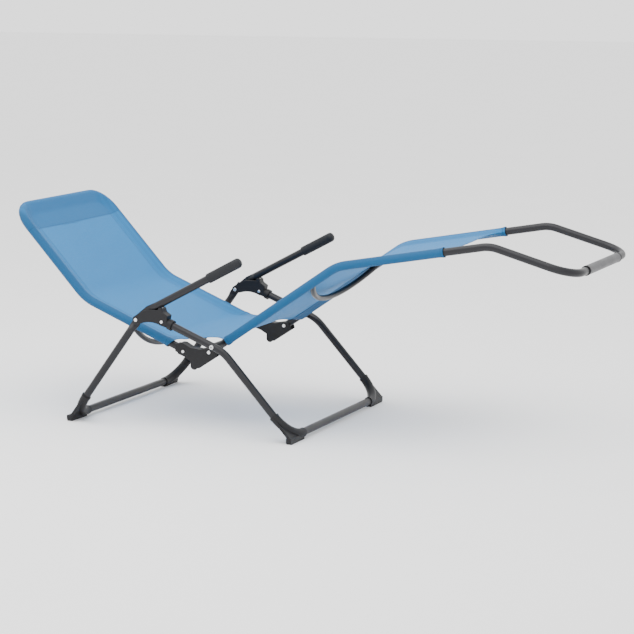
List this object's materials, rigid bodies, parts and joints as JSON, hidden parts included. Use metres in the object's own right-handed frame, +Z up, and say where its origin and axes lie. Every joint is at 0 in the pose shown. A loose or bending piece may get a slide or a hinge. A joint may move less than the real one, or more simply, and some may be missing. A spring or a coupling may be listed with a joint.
{
  "type": "reclining lounger",
  "caption": "Folding garden lounger that rocks back to a legs-up position: bent steel tube frames, folding legs and armrests, plastic knuckles and a blue mesh sling.",
  "frame": {"origin": "centre of the footprint box on the floor: halfway between the head end and the foot bar, on the mid-plane, at floor level", "axes": "+X towards the feet, +Y to the sitter's left, +Z up"},
  "size_m": [1.772, 0.653, 0.628],
  "materials": {
    "frame_paint": "anthracite powder coat, slightly glossy",
    "black_plastic": "moulded, fine texture",
    "grip_plastic": "ribbed soft grip",
    "sleeve_plastic": "smooth grey sleeve",
    "bright_steel": "plated rivets and pins",
    "sling_mesh": "woven coated mesh"
  },
  "bodies": {
    "front_stand": {"front_leg_tube": "frame_paint", "front_shoe_left": "black_plastic", "front_shoe_right": "black_plastic", "arm_bracket_left": "black_plastic", "arm_bracket_right": "black_plastic", "bracket_rivet_left": "bright_steel", "bracket_rivet_right": "bright_steel", "arm_stop_pin_left": "bright_steel", "arm_stop_pin_right": "bright_steel", "stand_hinge_pin_left": "bright_steel", "stand_hinge_pin_right": "bright_steel", "hinge_washer_left": "black_plastic", "hinge_washer_right": "black_plastic", "pivot_rivet_left": "bright_steel", "pivot_rivet_right": "bright_steel", "pivot_spacer_left": "black_plastic", "pivot_spacer_right": "black_plastic"},
    "rear_stand": {"rear_leg_tube": "frame_paint", "rear_shoe_left": "black_plastic", "rear_shoe_right": "black_plastic"},
    "armrest_left": {"armrest_tube_left": "frame_paint", "armrest_grip_left": "grip_plastic"},
    "armrest_right": {"armrest_tube_right": "frame_paint", "armrest_grip_right": "grip_plastic"},
    "leg_frame": {"leg_frame_tube": "frame_paint", "knee_cross_tube": "frame_paint", "foot_bar_sleeve": "sleeve_plastic", "sling_leg": "sling_mesh", "foot_bar_band_left": "black_plastic", "foot_bar_band_right": "black_plastic"},
    "back_frame": {"back_frame_tube": "frame_paint", "seat_cross_tube": "frame_paint", "sling_back": "sling_mesh", "knuckle_left": "black_plastic", "knuckle_right": "black_plastic", "knuckle_rivet_left": "bright_steel", "knuckle_rivet_right": "bright_steel", "fold_rivet_left": "bright_steel", "fold_rivet_right": "bright_steel"}
  },
  "joints": [
    {"name": "recline", "type": "hinge", "parent": "front_stand", "child": "leg_frame", "pos_m": [-0.172, 0, 0.259], "axis": [0, 1, 0], "range_deg": [0, 68]},
    {"name": "back_fold", "type": "hinge", "parent": "leg_frame", "child": "back_frame", "pos_m": [-0.21325, 0, 0.23074], "axis": [0, 1, 0], "range_deg": [0, 112]},
    {"name": "rear_leg_fold", "type": "hinge", "parent": "front_stand", "child": "rear_stand", "pos_m": [-0.417, 0, 0.321], "axis": [0, -1, 0], "range_deg": [0, 92]},
    {"name": "armrest_left_lift", "type": "hinge", "parent": "front_stand", "child": "armrest_left", "pos_m": [-0.417, 0.31, 0.321], "axis": [0, -1, 0], "range_deg": [0, 110]},
    {"name": "armrest_right_lift", "type": "hinge", "parent": "front_stand", "child": "armrest_right", "pos_m": [-0.417, -0.31, 0.321], "axis": [0, -1, 0], "range_deg": [0, 110]}
  ]
}
